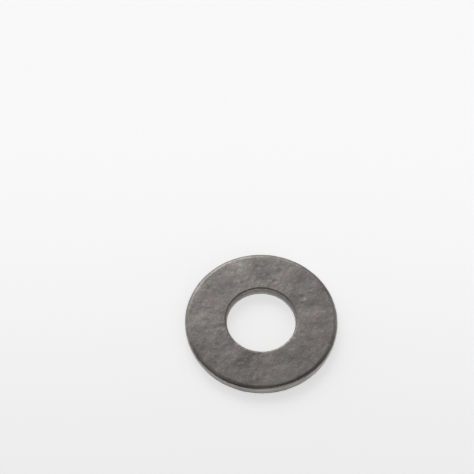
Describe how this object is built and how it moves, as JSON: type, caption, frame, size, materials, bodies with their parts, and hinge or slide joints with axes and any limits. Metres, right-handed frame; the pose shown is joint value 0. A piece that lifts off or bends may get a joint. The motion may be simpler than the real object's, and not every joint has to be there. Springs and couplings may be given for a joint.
{
  "type": "flat washer",
  "caption": "Round flat washer with a central hole, stamped from stainless sheet, with one rounded rim, that spreads a screw head's or nut's load.",
  "frame": {"origin": "on the axis of the hole, at the lower face, on which the washer lies", "axes": "+Z along the axis of the hole, from the lower face to the upper face, whose outer rim is the rounded one; X and Y are any two directions across the ring, which is round"},
  "size_m": [0.0158, 0.0158, 0.0013],
  "materials": {
    "tumbled_steel": "satin, tumbled after stamping, with fine pits and dents"
  },
  "bodies": {
    "root": {"flat_washer": "tumbled_steel"}
  },
  "joints": []
}
